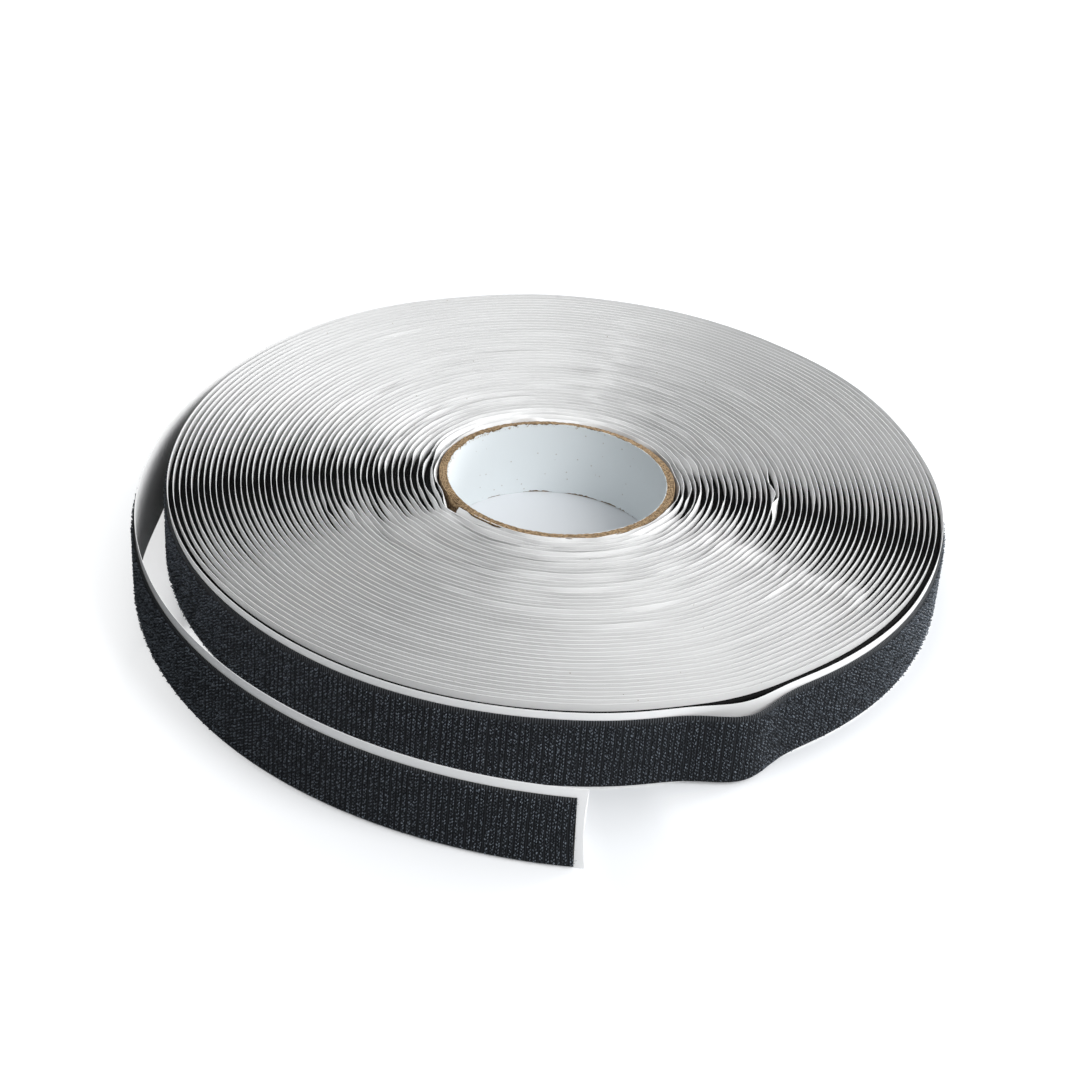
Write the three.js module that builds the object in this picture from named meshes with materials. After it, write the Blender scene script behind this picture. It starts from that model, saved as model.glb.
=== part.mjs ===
// A roll of self-adhesive hook tape wound with its release liner on a board tube, its last part loose.
// Millimetres, +Z up. The roll lies on z = 0, and the origin is the middle of its footprint.

import * as THREE from "three";

const DEGREE = Math.PI / 180;

// Tape, adhesive and liner, as one strip
const TAPE_WIDTH = 24.5;
const GROUND_THICKNESS = 0.5; // woven ground of the tape
const HOOK_HEIGHT = 0.79; // hooks as they lie pressed in the roll
const COAT_THICKNESS = 0.12; // adhesive on the back of the ground
const LINER_THICKNESS = 0.15;
const LINER_ABOVE = 2.7; // liner past the upper edge of the tape
const LINER_BELOW = 1.2; // liner past its lower edge
const LINER_END = 3; // liner past the cut end of the tape
const LAYER_GAP = 0.2; // air on each side of the liner
const BOND_GAP = 0.05; // between the coat and the ground

const LINER_WIDTH = LINER_BELOW + TAPE_WIDTH + LINER_ABOVE;
const TAPE_LOW = LINER_BELOW;
const TAPE_HIGH = LINER_BELOW + TAPE_WIDTH;

// Layers, counted outward from the inner face of the liner
const COAT_NEAR = LINER_THICKNESS + LAYER_GAP;
const COAT_FAR = COAT_NEAR + COAT_THICKNESS;
const GROUND_NEAR = COAT_FAR + BOND_GAP;
const GROUND_MIDDLE = GROUND_NEAR + GROUND_THICKNESS / 2;
const HOOK_FAR = GROUND_NEAR + GROUND_THICKNESS + HOOK_HEIGHT;
const STRIP_THICKNESS = HOOK_FAR + LAYER_GAP;

// Board tube
const CORE_BORE = 76.2; // three inches
const CORE_WALL = 3; // board and paper lining together
const LINING_THICKNESS = 0.25;
const CORE_LENGTH = LINER_WIDTH; // cut flush with the liner
const CORE_SIDES = 48;
const CORE_RADIUS = CORE_BORE / 2 + CORE_WALL;

// Winding
const STEPS = 24; // flats in one turn
const PLAIN_TURNS = 24; // turns next to the tube, as one plain ring
const WOUND_TURNS = 22; // turns outside them, as wound strips
const OUT_OF_ROUND = 0.051; // share by which the turns are looser along the long axis
const LONG_AXIS = 78.7 * DEGREE;
const STEP_FLATTENING = Math.cos(Math.PI / STEPS);
const TURN_PITCH = STRIP_THICKNESS / ((1 - OUT_OF_ROUND) * STEP_FLATTENING);
const ROOT_ANGLE = 165 * DEGREE; // where the tail leaves the roll
const ROOT_TURN = PLAIN_TURNS + WOUND_TURNS;

// Bulge where the outermost turn has sprung off the one below
const BULGE_HEIGHT = 4.5;
const BULGE_ANGLE = 297 * DEGREE;
const BULGE_WIDTH = 5 * DEGREE;

// Loose tail
const TAIL_ARC = 110.5 * DEGREE;
const TAIL_LIFT = 36.8; // how far the cut end stands off the roll
const TAIL_LEAD = 15 * DEGREE; // the lift begins this far before the root
const TAIL_EASE = 1.45; // how gently the lift begins
const TAIL_SWELL = 0.4; // how much fuller the lift is before the end
const TAIL_PIECES = 6;
const PIECE_STEPS = 2; // flats in one piece of the tail
const BEND_GAP = 0.6; // free length between two pieces of the tail

const FULL_TURN = 2 * Math.PI;
const TAIL_TURNS = TAIL_ARC / FULL_TURN;

// Flats of the strip, counted from where the wound turns begin
const ROOT_FLAT = WOUND_TURNS * STEPS;
const TAIL_FLATS = TAIL_PIECES * PIECE_STEPS;
const END_FLAT = ROOT_FLAT + TAIL_FLATS;
const TAB_FLAT = END_FLAT - 1; // the last flat of the liner peels first

function finish(colour, roughness) {
  return new THREE.MeshStandardMaterial({ color: colour, roughness, metalness: 0 });
}

const KRAFT_BOARD = finish(0xb08d66, 0.9);
const LINING_PAPER = finish(0xe6ebee, 0.85);
const BLACK_NYLON = finish(0x17181b, 0.8);
const LINER_FILM = finish(0xeef0ee, 0.45);
const CLEAR_ADHESIVE = finish(0xd8d3c2, 0.3);
const WOUND_STRIP = finish(0x8f9192, 0.7);

// Angle round the tube at a number of turns from the start of the winding
function turnAngle(turn) {
  return ROOT_ANGLE + (turn - ROOT_TURN) * FULL_TURN;
}

function tailLift(turn) {
  const lead = (turn - ROOT_TURN) * FULL_TURN + TAIL_LEAD;
  const share = Math.max(0, lead / (TAIL_ARC + TAIL_LEAD));
  const swell = 1 + TAIL_SWELL * share ** 3 * (1 - share);
  return TAIL_LIFT * share ** TAIL_EASE * swell;
}

function bulgeLift(turn) {
  const bulgeTurn = ROOT_TURN - 1 + (BULGE_ANGLE - ROOT_ANGLE) / FULL_TURN;
  const away = (turn - bulgeTurn) * FULL_TURN / BULGE_WIDTH;
  return BULGE_HEIGHT * Math.exp(-away * away);
}

// Radius of the inner face of the liner
function linerRadius(turn) {
  const oval = Math.cos(2 * (turnAngle(turn) - LONG_AXIS));
  const pitch = TURN_PITCH * (1 + OUT_OF_ROUND * oval);
  return CORE_RADIUS + LAYER_GAP + turn * pitch + tailLift(turn) + bulgeLift(turn);
}

// Turns wound at the start of a flat
function flatTurn(flat) {
  if (flat <= ROOT_FLAT) {
    return PLAIN_TURNS + flat / STEPS;
  }
  return ROOT_TURN + TAIL_TURNS * (flat - ROOT_FLAT) / TAIL_FLATS;
}

function cornerPoint(flat, depth) {
  const turn = flatTurn(flat);
  const angle = turnAngle(turn);
  const radius = linerRadius(turn) + depth;
  return new THREE.Vector2(radius * Math.cos(angle), radius * Math.sin(angle));
}

// Point in plan at a place along the strip, at a depth outward from the inner face of the liner
function stripPoint(place, depth) {
  const flat = Math.min(Math.floor(place), END_FLAT - 1);
  return cornerPoint(flat, depth).lerp(cornerPoint(flat + 1, depth), place - flat);
}

// Share of the flat at a place that a length along the strip takes up
function shareOfFlat(length, flat) {
  return length / cornerPoint(flat, 0).distanceTo(cornerPoint(flat + 1, 0));
}

function placesBetween(first, last) {
  const places = [first];
  for (let flat = Math.floor(first) + 1; flat < last; flat += 1) {
    places.push(flat);
  }
  places.push(last);
  return places;
}

// One closed band with a rectangular section, carried along the strip from place to place
function band(first, last, near, far, low, high) {
  const places = placesBetween(first, last);
  const corners = [];
  for (const place of places) {
    const inside = stripPoint(place, near);
    const outside = stripPoint(place, far);
    corners.push(inside.x, inside.y, low);
    corners.push(outside.x, outside.y, low);
    corners.push(outside.x, outside.y, high);
    corners.push(inside.x, inside.y, high);
  }
  const sides = 4;
  const faces = [0, 1, 2, 0, 2, 3];
  for (let ring = 0; ring < places.length - 1; ring += 1) {
    for (let side = 0; side < sides; side += 1) {
      const here = ring * sides + side;
      const beside = ring * sides + (side + 1) % sides;
      faces.push(here, here + sides, beside + sides);
      faces.push(here, beside + sides, beside);
    }
  }
  const end = (places.length - 1) * sides;
  faces.push(end, end + 2, end + 1, end, end + 3, end + 2);
  const geometry = new THREE.BufferGeometry();
  geometry.setAttribute("position", new THREE.Float32BufferAttribute(corners, 3));
  geometry.setIndex(faces);
  geometry.computeVertexNormals();
  return geometry;
}

function tube(innerRadius, outerRadius) {
  const profile = [
    new THREE.Vector2(innerRadius, 0),
    new THREE.Vector2(outerRadius, 0),
    new THREE.Vector2(outerRadius, CORE_LENGTH),
    new THREE.Vector2(innerRadius, CORE_LENGTH),
    new THREE.Vector2(innerRadius, 0),
  ];
  const geometry = new THREE.LatheGeometry(profile, CORE_SIDES);
  geometry.rotateX(Math.PI / 2);
  return geometry;
}

// Plain ring whose rim follows one turn of the winding and steps down where the wound strip begins
function plainRing() {
  const rim = [];
  for (let flat = 0; flat <= STEPS; flat += 1) {
    rim.push(cornerPoint(flat, -LAYER_GAP));
  }
  const hole = [];
  for (let side = 0; side < CORE_SIDES; side += 1) {
    const angle = -side / CORE_SIDES * FULL_TURN;
    const radius = CORE_RADIUS + LAYER_GAP;
    hole.push(new THREE.Vector2(radius * Math.cos(angle), radius * Math.sin(angle)));
  }
  const outline = new THREE.Shape(rim);
  outline.holes.push(new THREE.Path(hole));
  return new THREE.ExtrudeGeometry(outline, { depth: LINER_WIDTH, bevelEnabled: false });
}

function piece(name, geometry, material) {
  const mesh = new THREE.Mesh(geometry, material);
  mesh.name = name;
  return mesh;
}

// Pivot at a bend of the strip, placed within the pivot that carries it
function pivotAt(name, flat, depth, carrier) {
  const pivot = new THREE.Group();
  const place = cornerPoint(flat, depth);
  pivot.name = name;
  pivot.userData.place = place;
  pivot.position.set(place.x, place.y, 0);
  if (carrier.userData.place) {
    pivot.position.x -= carrier.userData.place.x;
    pivot.position.y -= carrier.userData.place.y;
  }
  carrier.add(pivot);
  return pivot;
}

function hang(pivot, name, geometry, material) {
  const place = pivot.userData.place;
  geometry.translate(-place.x, -place.y, 0);
  pivot.add(piece(name, geometry, material));
}

// Least gap between one turn of a band and the next, point by point
function leastOwnGap(near, far) {
  let least = Infinity;
  for (let flat = 0; flat <= ROOT_FLAT - STEPS; flat += 1) {
    const outside = cornerPoint(flat, far);
    const inside = cornerPoint(flat + STEPS, near);
    least = Math.min(least, outside.distanceTo(inside) * STEP_FLATTENING);
  }
  return least;
}

const roll = new THREE.Group();
roll.name = "roll";

// Tube
const boardInside = CORE_BORE / 2 + LINING_THICKNESS + BOND_GAP;
roll.add(piece("core_tube", tube(boardInside, CORE_RADIUS), KRAFT_BOARD));
roll.add(piece("core_lining", tube(CORE_BORE / 2, CORE_BORE / 2 + LINING_THICKNESS), LINING_PAPER));

// Turns that stay on the roll
const woundStart = shareOfFlat(BEND_GAP / 2, 0);
const woundEnd = ROOT_FLAT - shareOfFlat(BEND_GAP / 2, ROOT_FLAT - 1);
const tapeBand = band(woundStart, woundEnd, COAT_NEAR, HOOK_FAR, TAPE_LOW, TAPE_HIGH);
const linerBand = band(woundStart, woundEnd, 0, LINER_THICKNESS, 0, LINER_WIDTH);
roll.add(piece("inner_turns", plainRing(), WOUND_STRIP));
roll.add(piece("hook_tape_winding", tapeBand, BLACK_NYLON));
roll.add(piece("liner_winding", linerBand, LINER_FILM));

// Loose tail, each piece carried by the one before it
let carrier = roll;
for (let number = 1; number <= TAIL_PIECES; number += 1) {
  const stopFlat = ROOT_FLAT + number * PIECE_STEPS;
  const startFlat = stopFlat - PIECE_STEPS;
  const isLast = number === TAIL_PIECES;
  const linerStop = isLast ? TAB_FLAT : stopFlat;
  const first = startFlat + shareOfFlat(BEND_GAP / 2, startFlat);
  const tapeLast = stopFlat - shareOfFlat(isLast ? LINER_END : BEND_GAP / 2, stopFlat - 1);
  const linerLast = linerStop - shareOfFlat(BEND_GAP / 2, linerStop - 1);
  const tape = band(first, tapeLast, GROUND_NEAR, HOOK_FAR, TAPE_LOW, TAPE_HIGH);
  const coat = band(first, tapeLast, COAT_NEAR, COAT_FAR, TAPE_LOW, TAPE_HIGH);
  const liner = band(first, linerLast, 0, LINER_THICKNESS, 0, LINER_WIDTH);
  const pivot = pivotAt("tail_bend_" + number, startFlat, GROUND_MIDDLE, carrier);
  hang(pivot, "hook_tape_tail_" + number, tape, BLACK_NYLON);
  hang(pivot, "adhesive_tail_" + number, coat, CLEAR_ADHESIVE);
  hang(pivot, "liner_tail_" + number, liner, LINER_FILM);
  carrier = pivot;
}

// End of the liner
const tabStart = TAB_FLAT + shareOfFlat(BEND_GAP / 2, TAB_FLAT);
const tabBand = band(tabStart, END_FLAT, 0, LINER_THICKNESS, 0, LINER_WIDTH);
const tabPivot = pivotAt("liner_peel", TAB_FLAT, LINER_THICKNESS / 2, carrier);
hang(tabPivot, "liner_tab", tabBand, LINER_FILM);

// Middle of the footprint to the origin
const part = new THREE.Group();
part.add(roll);
const footprint = new THREE.Box3().setFromObject(part).getCenter(new THREE.Vector3());
roll.position.set(-footprint.x, -footprint.y, 0);

const tapeGap = leastOwnGap(COAT_NEAR, HOOK_FAR);
const linerGap = leastOwnGap(0, LINER_THICKNESS);
console.log("hook_tape_winding least gap to itself", tapeGap.toFixed(3), "mm");
console.log("liner_winding least gap to itself", linerGap.toFixed(3), "mm");

export default part;
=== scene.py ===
import math

import bpy
import numpy as np
from mathutils import Matrix, Vector


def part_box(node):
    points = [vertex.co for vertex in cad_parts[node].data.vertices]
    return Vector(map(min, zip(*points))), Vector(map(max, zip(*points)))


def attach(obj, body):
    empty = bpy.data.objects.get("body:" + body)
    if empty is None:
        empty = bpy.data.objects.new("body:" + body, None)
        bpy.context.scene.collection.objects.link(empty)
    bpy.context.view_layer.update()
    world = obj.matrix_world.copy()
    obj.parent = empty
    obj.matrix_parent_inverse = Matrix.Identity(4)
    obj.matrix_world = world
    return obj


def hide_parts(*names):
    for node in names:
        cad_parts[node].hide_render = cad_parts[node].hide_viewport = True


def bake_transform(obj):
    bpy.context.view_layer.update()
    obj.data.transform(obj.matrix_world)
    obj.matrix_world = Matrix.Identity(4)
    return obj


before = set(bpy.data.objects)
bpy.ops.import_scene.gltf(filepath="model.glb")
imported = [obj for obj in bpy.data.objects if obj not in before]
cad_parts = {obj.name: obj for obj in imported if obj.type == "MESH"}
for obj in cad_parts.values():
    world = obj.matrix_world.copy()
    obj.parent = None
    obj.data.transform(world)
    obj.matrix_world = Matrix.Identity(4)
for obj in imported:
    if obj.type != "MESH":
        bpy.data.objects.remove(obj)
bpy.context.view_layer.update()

# Sizes are in millimetres and meshes in metres
MM = 0.001
FULL_TURN = 2 * math.pi
DEGREE = math.pi / 180

# Tube and widths, from the frame
core_low, core_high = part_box("core_tube")
tape_low, tape_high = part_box("hook_tape_winding")
AXIS_X = (core_low.x + core_high.x) / 2 / MM
AXIS_Y = (core_low.y + core_high.y) / 2 / MM
CORE_RADIUS = (core_high.x - core_low.x) / 2 / MM
CORE_LENGTH = core_high.z / MM
TAPE_LOW = tape_low.z / MM
TAPE_HIGH = tape_high.z / MM
LINER_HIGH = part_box("liner_winding")[1].z / MM
FLAP = LINER_HIGH - TAPE_HIGH

# Bore of the tube and the paper that lines it, as on the solids
BORE_RADIUS = 38.1
LINING_THICKNESS = 0.25

# Layers of the strip, counted outward from the inner face of the liner, which is drawn a little thicker than
# the real one so that it shows, and thins towards its free edge
LINER_THICKNESS = 0.18
EDGE_THICKNESS = 0.165
COAT_NEAR = 0.2
GROUND_NEAR = 0.35
GROUND_FAR = 0.85
PRESSED_FAR = 1.78
EDGE_ROUND = 0.25

# Hooks, turned upward by the yaw, with a wire that is drawn thicker than the real one so that it shows
HOOK_HEIGHT = 0.74
HOOK_WIRE_RADIUS = 0.15
HOOK_SUNK = 0.1
HOOK_YAW = 64 * DEGREE
# Rows of hooks, steps along a row, how far hooks stand to each side of it by turns, and how far by chance
HOOK_ROW = 1.85
HOOK_STEP = 0.62
HOOK_PAIR = 0.16
HOOK_JITTER = 0.08
ROW_JITTER = 0.06
ROW_SAMPLES = 6000
# Edges of the tape that are bare of hooks
UPPER_SELVEDGE = 1.7
TAIL_SELVEDGE = 1.0
LOWER_SELVEDGE = 0.7
LAST_ROW = 0.6

# Winding, as on the solid strip
SEAT_GAP = 0.2
ROOT_TURN = 46
ROOT_ANGLE = 165 * DEGREE
TURN_PITCH = 2.136
OUT_OF_ROUND = 0.051
LONG_AXIS = 78.7 * DEGREE
TAIL_ARC = 110.5 * DEGREE
TAIL_LIFT = 36.8
TAIL_LEAD = 15 * DEGREE
TAIL_EASE = 1.45
TAIL_SWELL = 0.4
TAIL_PIECES = 6
TAIL_TURNS = TAIL_ARC / FULL_TURN
END_TURN = ROOT_TURN + TAIL_TURNS
LINER_END = 3

# Start of the outermost turn of tape, how much lower tape lies on the tail's liner, and steps of the meshes
OUTER_OVERLAP = 0.03
OUTER_TURN = ROOT_TURN - 1 - OUTER_OVERLAP
TAIL_DROP = 0.5
TAIL_ROWS = 5
STEPS_PER_TURN = 300
FINE_STEPS = 900

# Stretches, in turns, over which the roll's unevenness ends, the tail comes to lean and its tape to lie lower
ROLL_EASE = 0.1
LEAN_EASE = 0.05
DROP_EASE = 1 / 12

# Power of the turn by which flats and lean grow outward
WEAR_GROWTH = 3

# Start of the strip at the tube, which every lap steps over, less each time
FIRST_TURN = 0.151
STEP_SHARE = 0.955
STEP_DECAY = 0.8
START_CURL = 1.1
START_WIDTH = 7 * DEGREE

# Lean of the wall at the left, where its foot is nearer the axis than its top, and splay of the tail's end
LEAN_ANGLE = 200 * DEGREE
LEAN_WIDTH = 32 * DEGREE
ROLL_LEAN = 1.1
TAIL_LEAN = 1.5
TAIL_LEAN_ANGLE = 184 * DEGREE
TAIL_LEAN_WIDTH = 10 * DEGREE
END_SPLAY = 0.7
END_SPLAY_WIDTH = 9 * DEGREE
# Cut of that end, which dips in the middle and runs on at the foot
CUT_DIP = 0.8
CUT_SKEW = 0.7
CUT_REACH = 20

# Bulge of the outermost turn, which takes up some of its slack
BULGE_ANGLE = 296.5 * DEGREE
BULGE_TURN = ROOT_TURN - 1 + (BULGE_ANGLE - ROOT_ANGLE) / FULL_TURN
BULGE_WIDTH = 5.5 * DEGREE
BULGE_PINCH = 1.5
PINCH_WIDTH = 8.25 * DEGREE
BULGE_LINER = 3.2
BULGE_TAPE = 3.5

# Slack of the outermost turn, which stands off the turns below it all along the front: it sets in over a part
# of a turn, and the turns below sink away by a power of the turn
SLACK = 2.55
SLACK_START = 195 * DEGREE
SLACK_RISE = 66 * DEGREE
SLACK_FALL = 50 * DEGREE
SLACK_ARC = 162 * DEGREE
SLACK_ONSET = 0.125
SLACK_SINK = 1.2

# Shallow flats and swells of all the turns, with angles and widths in degrees
FLATS = [
    {"angle": 232, "width": 18, "depth": 0.8},
    {"angle": 324, "width": 24, "depth": -1.1},
    {"angle": 22, "width": 14, "depth": 0.9},
    {"angle": 55, "width": 9, "depth": 0.6},
    {"angle": 93, "width": 6, "depth": -0.4},
    {"angle": 109, "width": 8, "depth": 0.7},
    {"angle": 281, "width": 8, "depth": -0.6},
]

# Creases that a knock has pressed into the liner's edge, lap after lap: angles in degrees, depths as lean
CREASES = [
    {"angle": 329.5, "first": 9, "last": 40, "depth": -0.5, "before": 5, "after": 3},
    {"angle": 221, "first": 2, "last": 13, "depth": -1.1, "before": 3, "after": 10},
    {"angle": 79, "first": 8, "last": 40, "depth": 0.55, "before": 3.5, "after": 3.5},
    {"angle": 92, "first": 6, "last": 32, "depth": 0.25, "before": 14, "after": 14},
]
# Single folds and dents of that edge
FOLDS = [
    {"angle": 357, "lap": 17.6, "depth": -2.2, "before": 9, "after": 1.8},
    {"angle": 8, "lap": 16.6, "depth": -0.9, "before": 4, "after": 6},
    {"angle": 2, "lap": 16.6, "depth": 0.9, "before": 4, "after": 3},
    {"angle": 273, "lap": 10.3, "depth": -0.5, "before": 7, "after": 11},
    {"angle": 278, "lap": 14.3, "depth": -0.5, "before": 8, "after": 12},
    {"angle": 262.5, "lap": 20.3, "depth": -0.6, "before": 12, "after": 16},
    {"angle": 286.7, "lap": 24.3, "depth": -0.5, "before": 9, "after": 14},
    {"angle": 250.6, "lap": 19.2, "depth": -0.6, "before": 7, "after": 10},
    {"angle": 294.3, "lap": 20.4, "depth": -0.6, "before": 12, "after": 10},
    {"angle": 206, "lap": 20.1, "depth": 0.7, "before": 4, "after": 3},
    {"angle": 208.5, "lap": 17.1, "depth": -0.7, "before": 4, "after": 3},
    {"angle": 166, "lap": 36, "depth": 0.5, "before": 5, "after": 5},
    {"angle": 84, "lap": 18.8, "depth": -0.6, "before": 12, "after": 8},
    {"angle": 103, "lap": 24.8, "depth": -0.6, "before": 12, "after": 10},
    {"angle": 122, "lap": 35.9, "depth": 0.5, "before": 9, "after": 9},
]
# How far a lap of a crease wanders, in degrees, and shares by which its lean and reach vary
CREASE_WANDER = 1.2
CREASE_LEAN = (0.45, 1)
CREASE_REACH = (0.6, 1.2)
# Small dents all over: usual and greatest lean, the turns that they lie between, and their reach
SMALL_DENTS = {"count": 70, "lean": 0.35, "greatest": 0.6, "turns": (3, 30), "reach": (3, 9)}

# Crinkles next to the tube, and the lean of the liner's free edge, whose greatest is a share of its height
CRINKLED_TURNS = 5
CRINKLE_START = 1.2
OUTWARD_LEAN = 0.13
BACK_LEAN = 1.5
FRONT_LEAN = 0.5
GREATEST_LEAN = 0.85
# Shares of that lean, and of how far it lowers the edge, that are reached halfway up
HALFWAY_LEAN = 0.32
HALFWAY_SINK = 0.15
# Roughness of the free edge, which falls off outward over a number of turns to a least share
ROUGH_START = 1.35
ROUGH_TURNS = 26
ROUGH_LEAST = 0.25
# Buckling of the liner between the tape and its free edge, and how much more there is next to the tube
BUCKLE = 0.06
CRINKLED_BUCKLE = 0.45

# Unevenness of the strip: its depth, its noise cells to each turn outward and round the roll, and a seed
WAVY_TURNS = {"depth": 0.1, "outward": 1.7, "around": 24, "seed": 11}
CREASED_TURNS = {"depth": 0.25, "outward": 1.9, "around": 23, "seed": 12, "creased": True}
WAVY_EDGE = {"depth": 0.48, "outward": 0.9, "around": 34, "seed": 21}
FINE_EDGE = {"depth": 0.07, "outward": 2.3, "around": 130, "seed": 22}
CRINKLED_EDGE = {"depth": 1.2, "outward": 0.9, "around": 19, "seed": 23, "creased": True}
FINE_CRINKLES = {"depth": 0.72, "outward": 2.1, "around": 31, "seed": 24, "creased": True}
UNEVEN_RIM = {"depth": 0.12, "outward": 0.6, "around": 9, "seed": 25}
BUCKLES = {"depth": 1, "outward": 1.3, "around": 46, "seed": 26}

# Seeds of what is scattered by chance
DENT_SEED = 31
FIBRE_SEED = 51
ROW_SEED = 59
OUTER_HOOK_SEED = 60
TAIL_HOOK_SEED = 70
YARN_SEED = 81


def linear(hex_colour):
    """An sRGB hex colour as linear red, green, blue and alpha."""
    channels = [int(hex_colour[i:i + 2], 16) / 255 for i in (1, 3, 5)]
    values = [c / 12.92 if c <= 0.04045 else ((c + 0.055) / 1.055) ** 2.4 for c in channels]
    return (*values, 1)


def add_node(tree, kind, links=None, values=None, stops=None, points=None, **settings):
    """Adds a node with its properties, input values, colour stops or curve points, and links its inputs."""
    node = tree.nodes.new(kind)
    for name, value in settings.items():
        setattr(node, name, value)
    for name, value in (values or {}).items():
        node.inputs[name].default_value = value
    for name, socket in (links or {}).items():
        tree.links.new(socket, node.inputs[name])
    if stops:
        for element, (position, colour) in zip(node.color_ramp.elements, stops):
            element.position = position
            element.color = linear(colour)
    if points:
        line = node.mapping.curves[0].points
        line[0].location = points[0]
        line[1].location = points[-1]
        for place, height in points[1:-1]:
            line.new(place, height)
        for point in line:
            point.handle_type = "AUTO_CLAMPED"
        node.mapping.update()
    return node


# Noise and shapes along the strip
def ease(share):
    """Smooth step from 0 to 1."""
    share = np.clip(share, 0, 1)
    return share * share * (3 - 2 * share)


def soft_noise(x, y, around, seed, creased=False):
    """Smooth or creased noise from -1 to 1, repeating after a whole number of cells along y."""
    rows = int(np.max(x)) + 3
    table = np.random.default_rng(seed).uniform(-1, 1, (rows, around))
    column = np.floor(x).astype(int)
    row = np.floor(y).astype(int)
    across = ease(x - column)
    along = y - row if creased else ease(y - row)
    here = row % around
    beyond = (row + 1) % around
    near = table[column, here] * (1 - along) + table[column, beyond] * along
    far = table[column + 1, here] * (1 - along) + table[column + 1, beyond] * along
    return near * (1 - across) + far * across


def bump(distance, width):
    return np.exp(-(distance / width) ** 2)


def angle_apart(angle, other):
    """Signed difference of two angles, from minus half a turn to half a turn."""
    return (angle - other + math.pi) % FULL_TURN - math.pi


def strip_angle(turn):
    return ROOT_ANGLE + (turn - ROOT_TURN) * FULL_TURN


def turn_at(degrees, lap):
    """The turn at which the strip passes an angle, nearest to a number of laps."""
    base = ROOT_TURN + (degrees * DEGREE - ROOT_ANGLE) / FULL_TURN
    return base + round(lap - base)


def strip_noise(turn, depth, outward, around, seed, creased=False):
    """Unevenness along the strip, in noise cells so many to each turn outward and so many round the roll."""
    place = strip_angle(turn) % FULL_TURN / FULL_TURN * around
    return depth * soft_noise(turn * outward, place, around, seed, creased)


def on_roll(turn):
    """1 on the roll, falling to 0 where the tail starts."""
    return ease((ROOT_TURN - turn) / ROLL_EASE)


def on_tail(turn, stretch):
    """0 on the roll, rising to 1 within a stretch of the tail."""
    return ease((turn - ROOT_TURN) / stretch)


def crinkled(turn, start=CRINKLE_START):
    """1 next to the tube at most, falling to 0 over the first turns."""
    return np.clip(start - turn / CRINKLED_TURNS, 0, 1)


def tail_lift(turn):
    share = np.maximum(0, ((turn - ROOT_TURN) * FULL_TURN + TAIL_LEAD) / (TAIL_ARC + TAIL_LEAD))
    return TAIL_LIFT * share ** TAIL_EASE * (1 + TAIL_SWELL * share ** 3 * (1 - share))


def start_step(turn):
    """How each lap near the tube sinks towards it, then steps out over the curled start of the strip."""
    lap = turn - FIRST_TURN
    share = lap % 1
    stepped = ease((share - STEP_SHARE) / (1 - STEP_SHARE))
    sunk = TURN_PITCH * share * (1 - stepped)
    curl = START_CURL * bump(angle_apart(strip_angle(turn), strip_angle(FIRST_TURN)), START_WIDTH)
    return curl * STEP_DECAY ** np.floor(lap + 0.5) - sunk * STEP_DECAY ** np.floor(lap)


def worn_outline(turn):
    """How the turns depart from a smooth spiral: flats, swells and the slack of the outermost turn."""
    angle = strip_angle(turn)
    outermost = ease((turn - ROOT_TURN + 1) / SLACK_ONSET)
    onward = (angle - SLACK_START) % FULL_TURN
    slack = SLACK * ease(onward / SLACK_RISE) * ease((SLACK_ARC - onward) / SLACK_FALL)
    slack = slack - BULGE_PINCH * bump(angle_apart(angle, BULGE_ANGLE), PINCH_WIDTH)
    change = slack * (outermost - (turn / ROOT_TURN) ** SLACK_SINK)
    for place in FLATS:
        near = bump(angle_apart(angle, place["angle"] * DEGREE), place["width"] * DEGREE)
        change = change - near * place["depth"] * (turn / ROOT_TURN) ** WEAR_GROWTH
    return change


def strip_radius(turn):
    """Radius of the inner face of the liner."""
    angle = strip_angle(turn)
    pitch = TURN_PITCH * (1 + OUT_OF_ROUND * np.cos(2 * (angle - LONG_AXIS)))
    radius = CORE_RADIUS + SEAT_GAP + turn * pitch + tail_lift(turn) + start_step(turn)
    radius = radius + BULGE_LINER * bump((turn - BULGE_TURN) * FULL_TURN, BULGE_WIDTH)
    uneven = strip_noise(turn, **WAVY_TURNS) + crinkled(turn, 1) * strip_noise(turn, **CREASED_TURNS)
    return radius + on_roll(turn) * (uneven + worn_outline(turn))


TAPE_END = END_TURN - LINER_END / (FULL_TURN * float(strip_radius(np.array(END_TURN))))


def wall_lean(turn):
    """How far the foot of the strip stands in from its top."""
    angle = strip_angle(turn)
    share = np.minimum(1, turn / ROOT_TURN) ** WEAR_GROWTH
    lean = ROLL_LEAN * share * bump(angle_apart(angle, LEAN_ANGLE), LEAN_WIDTH)
    loose = TAIL_LEAN * bump(angle_apart(angle, TAIL_LEAN_ANGLE), TAIL_LEAN_WIDTH)
    splayed = END_SPLAY * bump((turn - END_TURN) * FULL_TURN, END_SPLAY_WIDTH)
    return lean + loose * on_tail(turn, LEAN_EASE) - splayed


def cut_shift(turn, height, radius):
    """Angle by which the strip near its cut end runs short in the middle and on at its foot."""
    fallen = 1 - height / LINER_HIGH
    near = ease(1 - (END_TURN - turn) * FULL_TURN * radius / CUT_REACH)
    return near * (CUT_SKEW * fallen ** 2 - 4 * CUT_DIP * fallen * (1 - fallen)) / radius


def strip_point(turn, depth, height):
    """Points at a depth outward from the inner face of the liner and a height over the floor."""
    radius = strip_radius(turn) + depth - wall_lean(turn) * (1 - height / LINER_HIGH)
    angle = strip_angle(turn) + cut_shift(turn, height, radius)
    x = AXIS_X + radius * np.cos(angle)
    y = AXIS_Y + radius * np.sin(angle)
    return np.stack(np.broadcast_arrays(x, y, height), axis=-1)


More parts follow.
